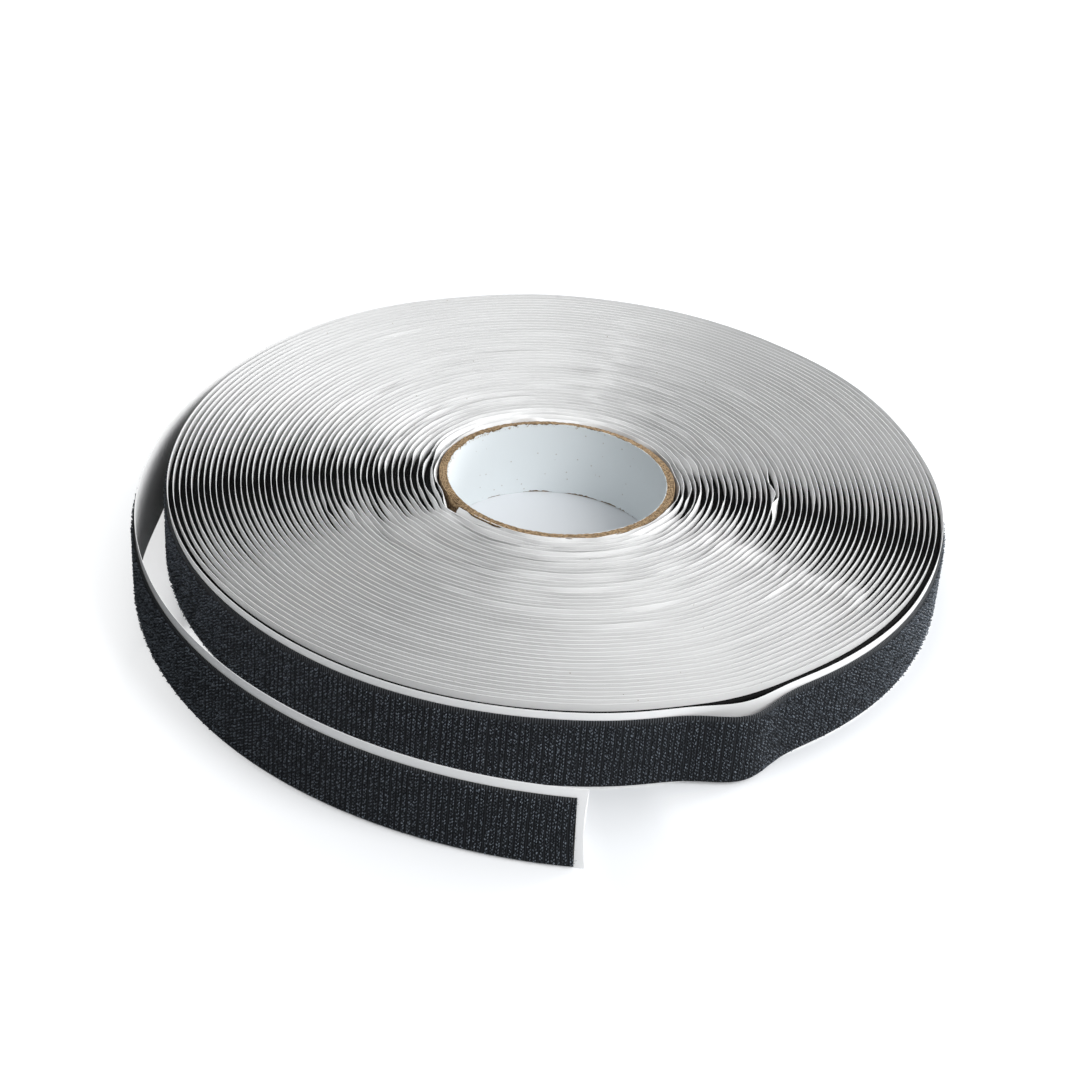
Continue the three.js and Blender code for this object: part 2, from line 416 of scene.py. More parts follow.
def strip_along(turn):
    """Unit vectors along the strip."""
    step = 0.0005
    ahead = strip_point(turn + step, 0, 0) - strip_point(turn - step, 0, 0)
    return ahead / np.linalg.norm(ahead, axis=-1, keepdims=True)


def tape_loft(turn):
    """How far the tape stands off its own liner in the bulge."""
    return BULGE_TAPE * bump((turn - BULGE_TURN) * FULL_TURN, BULGE_WIDTH)


def tape_drop(turn):
    """How much lower the tape lies on the liner of the tail."""
    return TAIL_DROP * on_tail(turn, DROP_EASE)


def turns_between(first, last, per_turn=STEPS_PER_TURN):
    """Turns at common steps, so that neighbouring bands line up."""
    inner = np.arange(math.floor(first * per_turn) + 1, math.ceil(last * per_turn)) / per_turn
    return np.concatenate([[first], inner, [last]])


def crease_dents():
    """Every dent of the liner's edge: its turn, lean, and reach before and after in millimetres."""
    dice = np.random.default_rng(DENT_SEED)
    dents = [(turn_at(f["angle"], f["lap"]), f["depth"], f["before"], f["after"]) for f in FOLDS]
    for crease in CREASES:
        for lap in range(crease["first"], crease["last"]):
            turn = turn_at(crease["angle"] + dice.normal(0, CREASE_WANDER), lap + 0.5)
            depth = crease["depth"] * dice.uniform(*CREASE_LEAN)
            dents.append((turn, depth, crease["before"] * dice.uniform(*CREASE_REACH), crease["after"]))
    count = SMALL_DENTS["count"]
    greatest = SMALL_DENTS["greatest"]
    reach = SMALL_DENTS["reach"]
    depths = np.clip(dice.normal(0, SMALL_DENTS["lean"], count), -greatest, greatest)
    for turn, depth in zip(dice.uniform(*SMALL_DENTS["turns"], count), depths):
        dents.append((turn, depth, dice.uniform(*reach), dice.uniform(*reach)))
    return dents


DENTS = crease_dents()


def flap_lean(turn):
    """How far the liner's free edge leans outward over the tape."""
    rough = np.clip(ROUGH_START - turn / ROUGH_TURNS, ROUGH_LEAST, 1)
    uneven = strip_noise(turn, **WAVY_EDGE) + strip_noise(turn, **FINE_EDGE)
    lean = on_roll(turn) * (OUTWARD_LEAN + rough * uneven)
    behind = np.sin(strip_angle(turn))
    lean += crinkled(turn) * np.where(behind > 0, BACK_LEAN * behind, FRONT_LEAN * behind)
    lean += crinkled(turn) * (strip_noise(turn, **CRINKLED_EDGE) + strip_noise(turn, **FINE_CRINKLES))
    for dent_turn, depth, before, after in DENTS:
        reach = (turn - dent_turn) * FULL_TURN * (CORE_RADIUS + dent_turn * TURN_PITCH)
        lean += depth * bump(reach, np.where(reach < 0, before, after))
    return np.clip(lean, -GREATEST_LEAN * FLAP, GREATEST_LEAN * FLAP)


# Meshes
SMOOTH_ANGLE = 40 * DEGREE


def mesh_object(name, vertices, faces, material):
    mesh = bpy.data.meshes.new(name)
    mesh.from_pydata((np.asarray(vertices) * MM).tolist(), [], faces)
    if material:
        mesh.materials.append(material)
    mesh.update()
    piece = bpy.data.objects.new(name, mesh)
    bpy.context.collection.objects.link(piece)
    return piece


def smooth_by_angle(piece):
    mesh = piece.data
    mesh.polygons.foreach_set("use_smooth", [True] * len(mesh.polygons))
    mesh.set_sharp_from_angle(angle=SMOOTH_ANGLE)


def add_map(piece, across, up):
    """UV map in millimetres from one pair of values for each vertex."""
    mesh = piece.data
    layer = mesh.uv_layers.new(name="size_map")
    corner = np.empty(len(mesh.loops), dtype=np.int32)
    mesh.loops.foreach_get("vertex_index", corner)
    flat = np.stack([across[corner], up[corner]], axis=-1)
    layer.data.foreach_set("uv", flat.ravel().astype(np.float32))


def band(name, turns, section, material):
    """A closed band: section gives, for each of its points, depths and heights along the turns."""
    rings = np.stack([strip_point(turns, depth, height) for depth, height in section], axis=1)
    stations, sides = rings.shape[:2]
    index = np.arange(stations * sides).reshape(stations, sides)
    here = index[:-1]
    ahead = index[1:]
    walls = np.stack([here, ahead, np.roll(ahead, -1, 1), np.roll(here, -1, 1)], axis=-1)
    faces = walls.reshape(-1, 4).tolist()
    faces.append(index[0].tolist())
    faces.append(index[-1][::-1].tolist())
    piece = mesh_object(name, rings.reshape(-1, 3), faces, material)
    steps = np.linalg.norm(np.diff(strip_point(turns, 0, 0), axis=0), axis=-1)
    lengths = np.concatenate([[0], np.cumsum(steps)])
    add_map(piece, np.repeat(lengths, sides), rings[:, :, 2].ravel())
    smooth_by_angle(piece)
    return piece


def ring(name, profile, material, steps):
    """A ring round the tube's axis from a closed profile of radii and heights, which may vary round it."""
    angles = np.arange(steps) / steps * FULL_TURN
    columns = []
    for radius, height in profile:
        x = AXIS_X + radius * np.cos(angles)
        y = AXIS_Y + radius * np.sin(angles)
        columns.append(np.stack(np.broadcast_arrays(x, y, height), axis=-1))
    rings = np.stack(columns, axis=1)
    sides = len(profile)
    index = np.arange(steps * sides).reshape(steps, sides)
    ahead = np.roll(index, -1, 0)
    walls = np.stack([index, ahead, np.roll(ahead, -1, 1), np.roll(index, -1, 1)], axis=-1)
    piece = mesh_object(name, rings.reshape(-1, 3), walls.reshape(-1, 4).tolist(), material)
    flat = rings.reshape(-1, 3)
    add_map(piece, np.hypot(flat[:, 0] - AXIS_X, flat[:, 1] - AXIS_Y), flat[:, 2])
    smooth_by_angle(piece)
    return piece


# Bent wires, set on points with Geometry Nodes; the bends have a height of about 1, and stand along Z
WIRE_BENDS = 6
WIRE_SIDES = 3
HOOK_BEND = {"Start Handle": (0, 0, 1.15), "End Handle": (0.75, 0, 1.35), "End": (0.68, 0, 0.5)}
FIBRE_BEND = {"Start Handle": (0, 0, 0.4), "End Handle": (0.25, 0, 0.7), "End": (0.5, 0, 0.8)}
YARN_BEND = {"Start Handle": (0, 0, 0.4), "End Handle": (0.2, 0, 0.7), "End": (0.3, 0, 1)}


def wire_group(name, bend, material):
    """Node group that sets a bent wire on every point."""
    group = bpy.data.node_groups.new(name, "GeometryNodeTree")
    face = group.interface
    face.new_socket("Points", in_out="INPUT", socket_type="NodeSocketGeometry")
    for socket in ("Height", "Wire Radius", "Spread", "Least Scale", "Most Scale"):
        face.new_socket(socket, in_out="INPUT", socket_type="NodeSocketFloat")
    face.new_socket("Seed", in_out="INPUT", socket_type="NodeSocketInt")
    face.new_socket("Wires", in_out="OUTPUT", socket_type="NodeSocketGeometry")
    given = add_node(group, "NodeGroupInput").outputs
    curve = add_node(group, "GeometryNodeCurvePrimitiveBezierSegment", mode="POSITION", values={
        "Resolution": WIRE_BENDS, "Start": (0, 0, 0), **bend})
    sized = add_node(group, "GeometryNodeTransform", {
        "Geometry": curve.outputs["Curve"], "Scale": given["Height"]})
    rim = add_node(group, "GeometryNodeCurvePrimitiveCircle", {"Radius": given["Wire Radius"]}, {
        "Resolution": WIRE_SIDES})
    wire = add_node(group, "GeometryNodeCurveToMesh", {
        "Curve": sized.outputs["Geometry"], "Profile Curve": rim.outputs["Curve"]}, {"Fill Caps": True})
    smooth = add_node(group, "GeometryNodeSetShadeSmooth", {"Geometry": wire.outputs["Mesh"]})
    facing = add_node(group, "GeometryNodeInputNamedAttribute", values={"Name": "facing"},
                      data_type="FLOAT_VECTOR")
    along = add_node(group, "GeometryNodeInputNamedAttribute", values={"Name": "along"},
                     data_type="FLOAT_VECTOR")
    upright = add_node(group, "FunctionNodeAlignRotationToVector", {
        "Vector": facing.outputs["Attribute"]}, axis="Z")
    turned = add_node(group, "FunctionNodeAlignRotationToVector", {
        "Rotation": upright.outputs["Rotation"], "Vector": along.outputs["Attribute"]},
        axis="X", pivot_axis="Z")
    lower = add_node(group, "ShaderNodeMath", {0: given["Spread"]}, {1: -1}, operation="MULTIPLY")
    chance = add_node(group, "FunctionNodeRandomValue", {
        2: lower.outputs[0], 3: given["Spread"], "Seed": given["Seed"]}, data_type="FLOAT")
    euler = add_node(group, "ShaderNodeCombineXYZ", {"Y": chance.outputs[1], "Z": chance.outputs[1]})
    swing = add_node(group, "FunctionNodeEulerToRotation", {"Euler": euler.outputs[0]})
    swung = add_node(group, "FunctionNodeRotateRotation", {
        "Rotation": turned.outputs["Rotation"], "Rotate By": swing.outputs["Rotation"]},
        rotation_space="LOCAL")
    next_seed = add_node(group, "ShaderNodeMath", {0: given["Seed"]}, {1: 1}, operation="ADD")
    scale = add_node(group, "FunctionNodeRandomValue", {
        2: given["Least Scale"], 3: given["Most Scale"], "Seed": next_seed.outputs[0]}, data_type="FLOAT")
    spread = add_node(group, "GeometryNodeInstanceOnPoints", {
        "Points": given["Points"], "Instance": smooth.outputs["Geometry"],
        "Rotation": swung.outputs["Rotation"], "Scale": scale.outputs[1]})
    real = add_node(group, "GeometryNodeRealizeInstances", {"Geometry": spread.outputs["Instances"]})
    finished = add_node(group, "GeometryNodeSetMaterial", {"Geometry": real.outputs["Geometry"]}, {
        "Material": material})
    add_node(group, "NodeGroupOutput", {"Wires": finished.outputs["Geometry"]})
    return group


def set_wires(name, group, places, facings, alongs, inputs):
    """A plain mesh of wires on points, each standing along facing and bent towards along."""
    piece = mesh_object(name, places, [], None)
    for attribute, vectors in (("facing", facings), ("along", alongs)):
        layer = piece.data.attributes.new(attribute, "FLOAT_VECTOR", "POINT")
        layer.data.foreach_set("vector", np.asarray(vectors, dtype=np.float32).ravel())
    modifier = piece.modifiers.new("wires", "NODES")
    modifier.node_group = group
    for socket in group.interface.items_tree:
        if socket.in_out == "INPUT" and socket.name in inputs:
            modifier[socket.identifier] = inputs[socket.name]
    graph = bpy.context.evaluated_depsgraph_get()
    piece.data = bpy.data.meshes.new_from_object(piece.evaluated_get(graph))
    piece.modifiers.clear()
    return piece


# Materials
# Specks of dust on the liner and of fibre in the lining, and how much the nylon shines
DUST = {"spacing": 6.667, "radius": 0.1333, "fade": 0.1}
PAPER_SPECKS = {"spacing": 3.571, "radius": 0.1786, "fade": 0.1428}
DULL_SHINE = 0.15
WIRE_SHINE = 0.25
# Ribs and picks of the woven ground, drawn coarser than real threads so that they show
RIB_SPACING = 0.8
PICK_SPACING = 0.42
PICK_SHARE = 0.35
RIB_DEPTH = 0.12
# Heights below and above the topmost hooks between which the ground goes from the painted shade among the
# hooks to the paleness of its bare edge
PALE_FROM = -0.4
PALE_TO = 0.6
# Plies and fibres of the board
PLY_THICKNESS = 0.55
PLY_SHARE = 0.13
GRAIN_SIZE = 0.7692
GRAIN_DETAIL = 6
GRAIN_DEPTH = 0.2


def new_material(name, colour, roughness, ior, shine=0.5):
    material = bpy.data.materials.new(name)
    material.use_nodes = True
    tree = material.node_tree
    shader = tree.nodes["Principled BSDF"]
    shader.inputs["Base Color"].default_value = linear(colour)
    shader.inputs["Roughness"].default_value = roughness
    shader.inputs["IOR"].default_value = ior
    shader.inputs["Specular IOR Level"].default_value = shine
    return material, tree, shader


def waves(tree, value, period, phase=None):
    """Sine waves with a period in the value's own unit, from -1 to 1."""
    scaled = add_node(tree, "ShaderNodeMath", {0: value}, {1: FULL_TURN / period}, operation="MULTIPLY")
    if phase:
        scaled = add_node(tree, "ShaderNodeMath", {0: scaled.outputs[0], 1: phase}, operation="ADD")
    return add_node(tree, "ShaderNodeMath", {0: scaled.outputs[0]}, operation="SINE").outputs[0]


def specks(tree, speck, paper, spacing, radius, fade):
    """Colour of paper with round specks that have a spacing, radius and soft rim in millimetres."""
    place = add_node(tree, "ShaderNodeTexCoord")
    dots = add_node(tree, "ShaderNodeTexVoronoi", {"Vector": place.outputs["Object"]}, {
        "Scale": 1 / (spacing * MM)})
    tone = add_node(tree, "ShaderNodeValToRGB", {"Fac": dots.outputs["Distance"]}, stops=[
        (radius / spacing, speck), ((radius + fade) / spacing, paper)])
    return tone.outputs["Color"]


def liner_film():
    """Release liner: white paper with a satin silicone coat and a few specks of dust."""
    material, tree, shader = new_material("silicone coated liner", "#efefef", roughness=0.38, ior=1.45)
    tree.links.new(specks(tree, "#a59a8e", "#efefef", **DUST), shader.inputs["Base Color"])
    return material


def woven_nylon():
    """Black nylon ground: dull ribbed cloth, darker among the hooks than on its bare edge, as a painted shade
    of the hooks.
    """
    material, tree, shader = new_material("woven black nylon", "#101214", roughness=0.7, ior=1.5,
                                          shine=DULL_SHINE)
    size = add_node(tree, "ShaderNodeUVMap", uv_map="size_map")
    parts = add_node(tree, "ShaderNodeSeparateXYZ", {0: size.outputs["UV"]})
    ribs = waves(tree, parts.outputs["X"], RIB_SPACING)
    picks = waves(tree, parts.outputs["Y"], PICK_SPACING)
    cloth = add_node(tree, "ShaderNodeMath", {0: picks, 2: ribs}, {1: PICK_SHARE}, operation="MULTIPLY_ADD")
    # Painted shade: the ground among the hooks is drawn darker than the bare edge, where the hooks shade it
    among = add_node(tree, "ShaderNodeValToRGB", {"Fac": cloth.outputs[0]}, stops=[
        (0, "#191b1e"), (0.9, "#2d3034")])
    bare = add_node(tree, "ShaderNodeValToRGB", {"Fac": cloth.outputs[0]}, stops=[
        (0.1, "#1a1b1d"), (0.9, "#55585c")])
    hook_top = TAPE_HIGH - UPPER_SELVEDGE
    edge = add_node(tree, "ShaderNodeMapRange", {"Value": parts.outputs["Y"]}, {
        "From Min": hook_top + PALE_FROM, "From Max": hook_top + PALE_TO})
    shade = add_node(tree, "ShaderNodeMix", {
        "Factor": edge.outputs["Result"], 6: among.outputs["Color"], 7: bare.outputs["Color"]},
        data_type="RGBA")
    tree.links.new(shade.outputs[2], shader.inputs["Base Color"])
    relief = add_node(tree, "ShaderNodeBump", {"Height": cloth.outputs[0]}, {
        "Strength": 0.6, "Distance": RIB_DEPTH * MM})
    tree.links.new(relief.outputs["Normal"], shader.inputs["Normal"])
    return material


def nylon_in_painted_shade():
    """Cut edges of the wound tape, deep between the liners: nearly black, painted darker than the nylon as the
    shade of those slots, with hardly any shine.
    """
    return new_material("black nylon in painted shade", "#060607", roughness=0.9, ior=1.5, shine=DULL_SHINE)[0]


def nylon_monofilament():
    """Hooks: drawn nylon wire, some painted brighter than others at random as painted glints, so the rows look
    like grains of light.
    """
    material, tree, shader = new_material("black nylon monofilament", "#24282c", roughness=0.3, ior=1.53,
                                          shine=WIRE_SHINE)
    island = add_node(tree, "ShaderNodeNewGeometry")
    # Painted highlight: a random brightness for each hook stands in for the glints on lit hook tops
    shade = add_node(tree, "ShaderNodeValToRGB", {"Fac": island.outputs["Random Per Island"]}, stops=[
        (0, "#2c3035"), (1, "#7b838d")])
    tree.links.new(shade.outputs["Color"], shader.inputs["Base Color"])
    return material


def acrylic_adhesive():
    """Clear acrylic coat on black nylon: dark, glossy and slightly milky."""
    return new_material("acrylic adhesive", "#3b3b38", roughness=0.25, ior=1.47)[0]


def kraft_board():
    """Wound kraft board: plies as rings on the sawn edge, with dark and light fibres."""
    material, tree, shader = new_material("kraft board", "#97805f", roughness=0.92, ior=1.45)
    size = add_node(tree, "ShaderNodeUVMap", uv_map="size_map")
    parts = add_node(tree, "ShaderNodeSeparateXYZ", {0: size.outputs["UV"]})
    place = add_node(tree, "ShaderNodeTexCoord")
    grain = add_node(tree, "ShaderNodeTexNoise", {"Vector": place.outputs["Object"]}, {
        "Scale": 1 / (GRAIN_SIZE * MM), "Detail": GRAIN_DETAIL})
    plies = waves(tree, parts.outputs["X"], PLY_THICKNESS, grain.outputs["Fac"])
    mixed = add_node(tree, "ShaderNodeMath", {0: plies, 2: grain.outputs["Fac"]}, {1: PLY_SHARE},
                     operation="MULTIPLY_ADD")
    tone = add_node(tree, "ShaderNodeValToRGB", {"Fac": mixed.outputs[0]}, stops=[
        (0.3, "#4a3621"), (0.7, "#b09571")])
    tree.links.new(tone.outputs["Color"], shader.inputs["Base Color"])
    relief = add_node(tree, "ShaderNodeBump", {"Height": mixed.outputs[0]}, {
        "Strength": 0.5, "Distance": GRAIN_DEPTH * MM})
    tree.links.new(relief.outputs["Normal"], shader.inputs["Normal"])
    return material


def kraft_fibre():
    """Torn kraft fibres, paler than the sawn board."""
    return new_material("kraft fibre", "#a08767", roughness=0.9, ior=1.45)[0]


def lining_paper():
    """White paper ply inside the tube, cool in the shade, with specks of recycled fibre."""
    material, tree, shader = new_material("white lining paper", "#d9dee0", roughness=0.8, ior=1.45)
    tree.links.new(specks(tree, "#b5b2ac", "#d9dee0", **PAPER_SPECKS), shader.inputs["Base Color"])
    return material


LINER = liner_film()
NYLON = woven_nylon()
NYLON_IN_SHADE = nylon_in_painted_shade()
HOOKS = nylon_monofilament()
ADHESIVE = acrylic_adhesive()
KRAFT = kraft_board()
FIBRE = kraft_fibre()
LINING = lining_paper()

HOOK_GROUP = wire_group("hooks", HOOK_BEND, HOOKS)
FIBRE_GROUP = wire_group("torn fibres", FIBRE_BEND, FIBRE)
YARN_GROUP = wire_group("cut yarns", YARN_BEND, HOOKS)


# Tube, whose sawn edge lies below the liner's, is pressed down at the back and chipped at the front left
BOARD_STEPS = 600
SAWN_BELOW = 0.15
SAWN_RINGS = 7
SAWN_HEIGHT = 3
SAWN_EDGE = {"depth": 0.13, "around": 300, "seed": 41}
PRESSED_DOWN = 0.6
CHIP_ANGLE = 213 * DEGREE
CHIP_WIDTH = 5 * DEGREE
CHIP_DEPTH = 0.8
CHIP_INSET = 0.5
# Lining, torn at its upper edge, most of all at the ragged far left, and frayed at its lower one
LINING_STEPS = 900
RAGGED_ANGLE = 140 * DEGREE
RAGGED_WIDTH = 60 * DEGREE
RAGGED_LEAST = 0.2
RAGGED_MORE = 0.7
TORN = {"depth": 0.6, "around": 150, "seed": 42}
FINE_TORN = {"depth": 0.42, "around": 450, "seed": 43}
TORN_MIDDLE = 0.25
TORN_MOST = 1.3
FRAYED = {"depth": 0.4, "around": 60, "seed": 44}
FINE_FRAYED = {"depth": 0.24, "around": 300, "seed": 45}
FRAYED_MIDDLE = 0.25
FRAYED_MOST = 0.85
# Torn fibres: the share of them in a crowd at the ragged stretch, where they stand, and how they lean
FIBRE_COUNT = 520
FIBRE_CROWD = 0.72
CROWD_WIDTH = 33 * DEGREE
FIBRE_OUTWARD = (0.05, 0.5)
FIBRE_BELOW = (0.1, 0.35)
FIBRE_INWARD_LEAN = (0.1, 0.7)
FIBRE_SIDE_LEAN = 0.5
FIBRE_WIRES = {
    "Height": 0.9 * MM, "Wire Radius": 0.07 * MM, "Spread": 0.8, "Seed": 5,
    "Least Scale": 0.3, "Most Scale": 1.3}


def edge_noise(share, depth, around, seed, row=0):
    """Unevenness round the tube, by shares of a turn, in a number of noise cells."""
    return depth * soft_noise(share * 0 + row, share * around, around, seed)


def make_tube():
    angles = np.arange(BOARD_STEPS) / BOARD_STEPS * FULL_TURN
    inside = BORE_RADIUS + LINING_THICKNESS
    chip = bump(angle_apart(angles, CHIP_ANGLE), CHIP_WIDTH)
    profile = [(inside, 0), (CORE_RADIUS, 0), (CORE_RADIUS, CORE_LENGTH - SAWN_HEIGHT)]
    for number in range(SAWN_RINGS):
        outward = 1 - number / (SAWN_RINGS - 1)
        rough = edge_noise(angles / FULL_TURN, row=number, **SAWN_EDGE)
        worn = chip * outward ** 2
        pressed = PRESSED_DOWN * outward * np.clip(np.sin(angles), 0, 1)
        radius = inside + (CORE_RADIUS - inside) * outward - CHIP_INSET * worn
        profile.append((radius, CORE_LENGTH - SAWN_BELOW + rough - CHIP_DEPTH * worn - pressed))
    tube = ring("board_tube", profile, KRAFT, BOARD_STEPS)
    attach(tube, "roll")
    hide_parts("core_tube")
    make_lining(inside)
    make_fibres()


def make_lining(outside):
    angles = np.arange(LINING_STEPS) / LINING_STEPS * FULL_TURN
    share = angles / FULL_TURN
    ragged = RAGGED_LEAST + RAGGED_MORE * bump(angle_apart(angles, RAGGED_ANGLE), RAGGED_WIDTH)
    torn = TORN_MIDDLE + edge_noise(share, **TORN) + edge_noise(share, **FINE_TORN)
    top = CORE_LENGTH - SAWN_BELOW - ragged * np.clip(torn, 0, TORN_MOST)
    frayed = FRAYED_MIDDLE + edge_noise(share, **FRAYED) + edge_noise(share, **FINE_FRAYED)
    bottom = np.clip(frayed, 0, FRAYED_MOST)
    profile = [(BORE_RADIUS, bottom), (outside, bottom), (outside, top), (BORE_RADIUS, top)]
    lining = ring("paper_lining", profile, LINING, LINING_STEPS)
    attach(lining, "roll")
    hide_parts("core_lining")


def make_fibres():
    """Torn fibres that hang from the sawn edge over the lining, most of them on the far left."""
    dice = np.random.default_rng(FIBRE_SEED)
    count = FIBRE_COUNT
    angles = np.where(dice.random(count) < FIBRE_CROWD, dice.normal(RAGGED_ANGLE, CROWD_WIDTH, count),
                      dice.uniform(0, FULL_TURN, count))
    radii = BORE_RADIUS + dice.uniform(*FIBRE_OUTWARD, count)
    outward = np.stack([np.cos(angles), np.sin(angles), 0 * angles], axis=-1)
    around = np.stack([-np.sin(angles), np.cos(angles), 0 * angles], axis=-1)
    down = np.array([0, 0, -1])
    lean = dice.normal(0, FIBRE_SIDE_LEAN, (count, 1))
    places = outward * radii[:, None]
    places += np.array([AXIS_X, AXIS_Y, 0])
    places[:, 2] = CORE_LENGTH - dice.uniform(*FIBRE_BELOW, count)
    facings = down - outward * dice.uniform(*FIBRE_INWARD_LEAN, (count, 1)) + around * lean
    fibres = set_wires("torn_fibres", FIBRE_GROUP, places, facings, around, FIBRE_WIRES)
    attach(fibres, "roll")


# Liner and tape
HOOK_SECTORS = 5
HOOK_WIRES = {
    "Height": HOOK_HEIGHT * MM, "Wire Radius": HOOK_WIRE_RADIUS * MM, "Spread": 0.35,
    "Least Scale": 0.75, "Most Scale": 1.15}


def liner_section(turns, rows=0):
    """Both faces of the liner, its free upper edge leaning and sinking as it bends."""
    lean = flap_lean(turns)
    sink = FLAP - np.sqrt(FLAP ** 2 - lean ** 2)
    buckled = BUCKLE + CRINKLED_BUCKLE * crinkled(turns)
    buckled = buckled * strip_noise(turns, **BUCKLES) * on_roll(turns)
    wall = np.linspace(TAPE_LOW, TAPE_HIGH, rows + 2)
    levels = [
        (0, 0 * turns),
        *((0, 0 * turns + height) for height in wall),
        (HALFWAY_LEAN * lean + buckled, TAPE_HIGH + FLAP / 2 - HALFWAY_SINK * sink),
        (lean, LINER_HIGH - sink + strip_noise(turns, **UNEVEN_RIM)),
    ]
    outer = [(depth + LINER_THICKNESS, height) for depth, height in levels]
    outer[-1] = (lean + EDGE_THICKNESS, levels[-1][1])
    return outer + levels[::-1]


def rising(depth, low, high, rows):
    """Points of a section at one depth, from low to high, with a number of rows between."""
    return [(depth, low + (high - low) * share) for share in np.linspace(0, 1, rows + 2)]


def tape_section(turns, near, far, rows=0):
    """Ground of the tape with its long edges rounded off on the hook side."""
    edge = far - EDGE_ROUND
    low = TAPE_LOW - tape_drop(turns)
    high = TAPE_HIGH - tape_drop(turns)
    face = rising(far, low + EDGE_ROUND, high - EDGE_ROUND, rows)
    return [(edge, low), *face, (edge, high), *rising(near, high, low, rows)]


def coat_section(turns, rows):
    low = TAPE_LOW - tape_drop(turns)
    high = TAPE_HIGH - tape_drop(turns)
    return rising(GROUND_NEAR, low, high, rows) + rising(COAT_NEAR, high, low, rows)


def hook_rows(first, last):
    """Turns of the hook rows in a stretch, and their numbers, counted back from the cut end."""
    fine = np.linspace(OUTER_TURN, END_TURN, ROW_SAMPLES)
    steps = np.linalg.norm(np.diff(strip_point(fine, GROUND_FAR, 0), axis=0), axis=-1)
    lengths = np.concatenate([[0], np.cumsum(steps)])
    last_row = np.interp(TAPE_END, fine, lengths) - LAST_ROW
    number = np.arange(int(last_row / HOOK_ROW))
    jitter = np.random.default_rng(ROW_SEED).normal(0, ROW_JITTER, len(number))
    turns = np.interp(last_row - (number + jitter) * HOOK_ROW, lengths, fine)
    chosen = (turns >= first) & (turns < last)
    return turns[chosen], number[chosen]


def make_hooks(name, first, last, seed):
    """Rows of hooks, bent to one side of the row and the other by turns, and all of them upward."""
    dice = np.random.default_rng(seed)
    turns, numbers = hook_rows(first, last)
    selvedge = TAIL_SELVEDGE if first >= ROOT_TURN else UPPER_SELVEDGE
    heights = np.arange(TAPE_LOW + LOWER_SELVEDGE, TAPE_HIGH - selvedge, HOOK_STEP)
    row_turns = np.repeat(turns, len(heights))
    row_numbers = np.repeat(numbers, len(heights))
    row_heights = np.tile(heights, len(turns)) + HOOK_STEP / 2 * (row_numbers % 2)
    row_heights = row_heights + dice.normal(0, HOOK_JITTER, len(row_turns)) - tape_drop(row_turns)
    side = np.where(np.arange(len(row_turns)) % 2, 1, -1)[:, None]
    along = strip_along(row_turns)
    up = np.array([0, 0, 1])
    outward = np.cross(along, up)
    places = strip_point(row_turns, GROUND_FAR - HOOK_SUNK + tape_loft(row_turns), row_heights)
    places = places + along * (HOOK_PAIR * side + dice.normal(0, HOOK_JITTER, (len(row_turns), 1)))
    bent = along * side * math.cos(HOOK_YAW) + up * math.sin(HOOK_YAW)
    return set_wires(name, HOOK_GROUP, places, outward, bent, {**HOOK_WIRES, "Seed": seed})


def make_winding():
    middle = ROOT_TURN / 2
    for name, first, last, node in (
        ("liner_inner_turns", FIRST_TURN, middle, "inner_turns"),
        ("liner_outer_turns", middle, ROOT_TURN, "liner_winding"),
    ):
        turns = turns_between(first, last)
        liner = band(name, turns, liner_section(turns), LINER)
        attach(liner, "roll")
        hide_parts(node)
    turns = turns_between(FIRST_TURN, OUTER_TURN)
    # The inner turns of tape are nearly black, a painted shade of the deep slots between the liners
    tape = band("tape_inner_turns", turns, tape_section(turns, COAT_NEAR, PRESSED_FAR), NYLON_IN_SHADE)
    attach(tape, "roll")
    turns = turns_between(OUTER_TURN, ROOT_TURN, FINE_STEPS)
    loft = tape_loft(turns)
    ground = band("tape_outer_turn", turns, tape_section(turns, COAT_NEAR + loft, GROUND_FAR + loft), NYLON)
    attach(ground, "roll")
    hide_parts("hook_tape_winding")
    for number in range(HOOK_SECTORS):
        first = OUTER_TURN + (ROOT_TURN - OUTER_TURN) * number / HOOK_SECTORS
        last = OUTER_TURN + (ROOT_TURN - OUTER_TURN) * (number + 1) / HOOK_SECTORS
        hooks = make_hooks(f"outer_hooks_{number + 1}", first, last, OUTER_HOOK_SEED + number)
        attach(hooks, "roll")


# Loose tail, and its cut yarns
YARN_COUNT = 16
YARN_SPLAY = 0.35
YARN_WIRES = {
    "Height": 0.8 * MM, "Wire Radius": 0.04 * MM, "Spread": 0.6, "Seed": 9,
    "Least Scale": 0.4, "Most Scale": 1.5}


def tail_turn(pieces):
    """Turn at a number of tail pieces from the root."""
    return ROOT_TURN + TAIL_TURNS * pieces / TAIL_PIECES


def floor_place(turn):
    return Vector(strip_point(np.array(float(turn)), 0, 0)) * MM


def make_tail():
    """Stretches of tape, coat, hooks and liner, each from the middle of one solid to that of the next."""
    for number in range(1, TAIL_PIECES + 2):
        first = tail_turn(max(0, number - 1.5))
        last = min(tail_turn(number - 0.5), END_TURN)
        turns = turns_between(first, last)
        taped = turns_between(first, min(last, TAPE_END), FINE_STEPS)
        ground = tape_section(taped, GROUND_NEAR, GROUND_FAR, TAIL_ROWS)
        tape = band(f"tail_tape_{number}", taped, ground, NYLON)
        coat = band(f"tail_adhesive_{number}", taped, coat_section(taped, TAIL_ROWS), ADHESIVE)
        hooks = make_hooks(f"tail_hooks_{number}", first, min(last, TAPE_END), TAIL_HOOK_SEED + number)
        liner = band(f"tail_liner_{number}", turns, liner_section(turns, TAIL_ROWS), LINER)
        start = floor_place(first)
        stop = floor_place(last)
        if number <= TAIL_PIECES:
            for piece in (tape, coat, hooks, liner):
                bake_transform(piece)
            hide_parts(f"hook_tape_tail_{number}")
            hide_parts(f"adhesive_tail_{number}")
            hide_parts(f"liner_tail_{number}")
        else:
            for piece in (tape, coat, hooks):
                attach(piece, f"tail_{TAIL_PIECES}")
            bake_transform(liner)
            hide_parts("liner_tab")
    make_cut_yarns()


